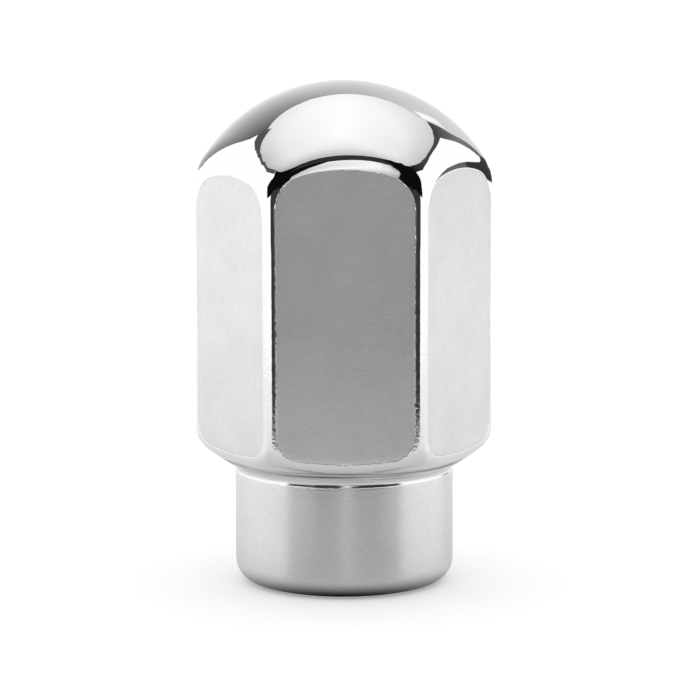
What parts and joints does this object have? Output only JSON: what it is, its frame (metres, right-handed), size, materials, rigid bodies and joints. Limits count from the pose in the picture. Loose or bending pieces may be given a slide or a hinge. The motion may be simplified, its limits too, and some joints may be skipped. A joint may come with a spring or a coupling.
{
  "type": "mag lug nut",
  "caption": "Closed-end chrome mag lug nut: a domed hexagon head on a plain round shank, with a blind thread from below.",
  "frame": {"origin": "centre of the shank's end face, on the nut's axis", "axes": "+Z along the nut's axis from the shank end to the dome; a flat faces -Y and two corners lie on the X axis"},
  "size_m": [0.0236, 0.0206, 0.0399],
  "materials": {
    "chrome": "bright chrome plate on the dome, edges and underside, satin on the flats and the turned shank"
  },
  "bodies": {
    "root": {"lug_nut": "chrome"}
  },
  "joints": []
}
